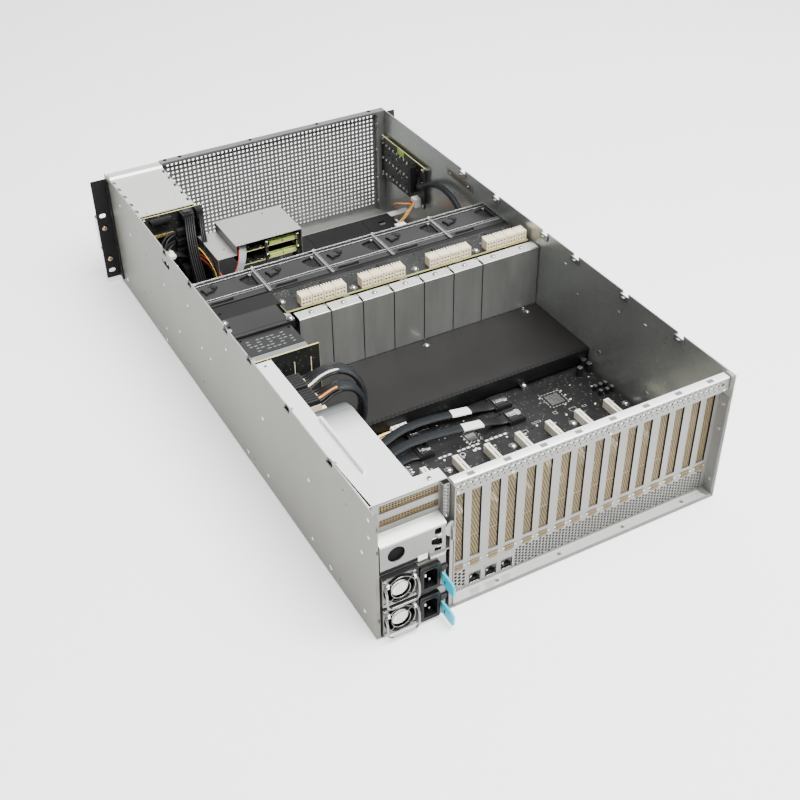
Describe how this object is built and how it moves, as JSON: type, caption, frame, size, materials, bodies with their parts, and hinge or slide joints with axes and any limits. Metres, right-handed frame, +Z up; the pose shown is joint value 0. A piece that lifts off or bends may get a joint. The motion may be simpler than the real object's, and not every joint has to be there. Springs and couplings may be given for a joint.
{
  "type": "4u rack gpu server",
  "caption": "Open-topped 4U rack server with perforated front, hot-swap fans and power supplies, drive trays and a bay of double-width card slots.",
  "frame": {"origin": "middle of the chassis underside", "axes": "+Z up, -Y towards the rack front, +Y towards the rear ports, +X towards the power supply side"},
  "size_m": [0.4826, 0.8665, 0.1744],
  "materials": {
    "galvanised": "satin zinc-coated sheet",
    "black_metal": "satin black",
    "bright_metal": "bright plated",
    "board": "dark solder mask",
    "black_plastic": "fine-grained black",
    "cream_plastic": "natural cream",
    "plated_mesh": "warm plated, perforated",
    "cable_jacket": "woven black sleeve",
    "teal_plastic": "pale teal"
  },
  "bodies": {
    "chassis": {"chassis_floor": "galvanised", "side_wall_right": "galvanised", "side_wall_left": "galvanised", "front_panel": "black_metal", "rack_ears": "black_metal", "front_handles": "bright_metal", "drive_cage": "galvanised", "drive_backplane": "board", "riser_box": "galvanised", "motherboard": "board", "air_shroud": "black_plastic", "wall_board": "board", "fan_cage": "galvanised", "fan_cage_band": "black_metal", "power_board": "board", "power_board_connectors": "cream_plastic", "partition_plates": "galvanised", "pdb_housing": "black_metal", "pdb_board": "board", "card_support_tray": "black_metal", "pcie_board": "board", "pcie_slots": "cream_plastic", "cable_plugs": "black_plastic", "rear_panel": "galvanised", "slot_covers": "plated_mesh", "retention_bracket": "galvanised", "network_ports": "black_plastic", "psu_cage": "galvanised", "rear_column_panels": "galvanised", "psu_cover": "galvanised", "chassis_screws": "bright_metal", "power_harness_1": "cable_jacket", "power_harness_2": "cable_jacket", "data_cable_1": "cable_jacket", "data_cable_2": "cable_jacket", "wall_board_cable": "cable_jacket"},
    "fan_1": {"fan_1_frame": "black_plastic"},
    "fan_1_rotor": {"fan_1_rotor": "black_plastic"},
    "fan_2": {"fan_2_frame": "black_plastic"},
    "fan_2_rotor": {"fan_2_rotor": "black_plastic"},
    "fan_3": {"fan_3_frame": "black_plastic"},
    "fan_3_rotor": {"fan_3_rotor": "black_plastic"},
    "fan_4": {"fan_4_frame": "black_plastic"},
    "fan_4_rotor": {"fan_4_rotor": "black_plastic"},
    "fan_5": {"fan_5_frame": "black_plastic"},
    "fan_5_rotor": {"fan_5_rotor": "black_plastic"},
    "psu_1": {"psu_1_body": "galvanised"},
    "psu_1_rotor": {"psu_1_rotor": "black_plastic"},
    "psu_1_handle": {"psu_1_handle": "bright_metal"},
    "psu_1_latch": {"psu_1_latch": "teal_plastic"},
    "psu_2": {"psu_2_body": "galvanised"},
    "psu_2_rotor": {"psu_2_rotor": "black_plastic"},
    "psu_2_handle": {"psu_2_handle": "bright_metal"},
    "psu_2_latch": {"psu_2_latch": "teal_plastic"},
    "drive_tray_1": {"drive_tray_1": "black_plastic"},
    "drive_tray_2": {"drive_tray_2": "black_plastic"},
    "drive_tray_3": {"drive_tray_3": "black_plastic"},
    "drive_tray_4": {"drive_tray_4": "black_plastic"},
    "drive_tray_5": {"drive_tray_5": "black_plastic"},
    "drive_tray_6": {"drive_tray_6": "black_plastic"}
  },
  "joints": [
    {"name": "fan_1_lift", "type": "slide", "parent": "chassis", "child": "fan_1", "axis": [0, 0, 1], "range_m": [0, 0.12]},
    {"name": "fan_1_spin", "type": "hinge", "parent": "fan_1", "child": "fan_1_rotor", "pos_m": [0.16975, -0.077, 0.1019], "axis": [0, 1, 0], "continuous": true},
    {"name": "fan_2_lift", "type": "slide", "parent": "chassis", "child": "fan_2", "axis": [0, 0, 1], "range_m": [0, 0.12]},
    {"name": "fan_2_spin", "type": "hinge", "parent": "fan_2", "child": "fan_2_rotor", "pos_m": [0.08345, -0.077, 0.1019], "axis": [0, 1, 0], "continuous": true},
    {"name": "fan_3_lift", "type": "slide", "parent": "chassis", "child": "fan_3", "axis": [0, 0, 1], "range_m": [0, 0.12]},
    {"name": "fan_3_spin", "type": "hinge", "parent": "fan_3", "child": "fan_3_rotor", "pos_m": [-0.00285, -0.077, 0.1019], "axis": [0, 1, 0], "continuous": true},
    {"name": "fan_4_lift", "type": "slide", "parent": "chassis", "child": "fan_4", "axis": [0, 0, 1], "range_m": [0, 0.12]},
    {"name": "fan_4_spin", "type": "hinge", "parent": "fan_4", "child": "fan_4_rotor", "pos_m": [-0.08915, -0.077, 0.1019], "axis": [0, 1, 0], "continuous": true},
    {"name": "fan_5_lift", "type": "slide", "parent": "chassis", "child": "fan_5", "axis": [0, 0, 1], "range_m": [0, 0.12]},
    {"name": "fan_5_spin", "type": "hinge", "parent": "fan_5", "child": "fan_5_rotor", "pos_m": [-0.17545, -0.077, 0.1019], "axis": [0, 1, 0], "continuous": true},
    {"name": "psu_1_slide", "type": "slide", "parent": "chassis", "child": "psu_1", "axis": [0, 1, 0], "range_m": [0, 0.19]},
    {"name": "psu_1_fan_spin", "type": "hinge", "parent": "psu_1", "child": "psu_1_rotor", "pos_m": [0.194, 0.3952, 0.0642], "axis": [0, 1, 0], "continuous": true},
    {"name": "psu_1_handle_fold", "type": "hinge", "parent": "psu_1", "child": "psu_1_handle", "pos_m": [0.1939, 0.4045, 0.0757], "axis": [1, 0, 0], "range_deg": [0, 80]},
    {"name": "psu_1_latch_press", "type": "hinge", "parent": "psu_1", "child": "psu_1_latch", "pos_m": [0.1451, 0.3695, 0.0582], "axis": [0, 0, -1], "range_deg": [0, 3.5], "stiffness_Nm_per_rad": 0.3},
    {"name": "psu_2_slide", "type": "slide", "parent": "chassis", "child": "psu_2", "axis": [0, 1, 0], "range_m": [0, 0.19]},
    {"name": "psu_2_fan_spin", "type": "hinge", "parent": "psu_2", "child": "psu_2_rotor", "pos_m": [0.194, 0.3952, 0.022], "axis": [0, 1, 0], "continuous": true},
    {"name": "psu_2_handle_fold", "type": "hinge", "parent": "psu_2", "child": "psu_2_handle", "pos_m": [0.1939, 0.4045, 0.0335], "axis": [1, 0, 0], "range_deg": [0, 80]},
    {"name": "psu_2_latch_press", "type": "hinge", "parent": "psu_2", "child": "psu_2_latch", "pos_m": [0.1451, 0.3695, 0.016], "axis": [0, 0, -1], "range_deg": [0, 3.5], "stiffness_Nm_per_rad": 0.3},
    {"name": "drive_tray_1_slide", "type": "slide", "parent": "chassis", "child": "drive_tray_1", "axis": [0, -1, 0], "range_m": [0, 0.12]},
    {"name": "drive_tray_2_slide", "type": "slide", "parent": "chassis", "child": "drive_tray_2", "axis": [0, -1, 0], "range_m": [0, 0.12]},
    {"name": "drive_tray_3_slide", "type": "slide", "parent": "chassis", "child": "drive_tray_3", "axis": [0, -1, 0], "range_m": [0, 0.12]},
    {"name": "drive_tray_4_slide", "type": "slide", "parent": "chassis", "child": "drive_tray_4", "axis": [0, -1, 0], "range_m": [0, 0.12]},
    {"name": "drive_tray_5_slide", "type": "slide", "parent": "chassis", "child": "drive_tray_5", "axis": [0, -1, 0], "range_m": [0, 0.12]},
    {"name": "drive_tray_6_slide", "type": "slide", "parent": "chassis", "child": "drive_tray_6", "axis": [0, -1, 0], "range_m": [0, 0.12]}
  ]
}
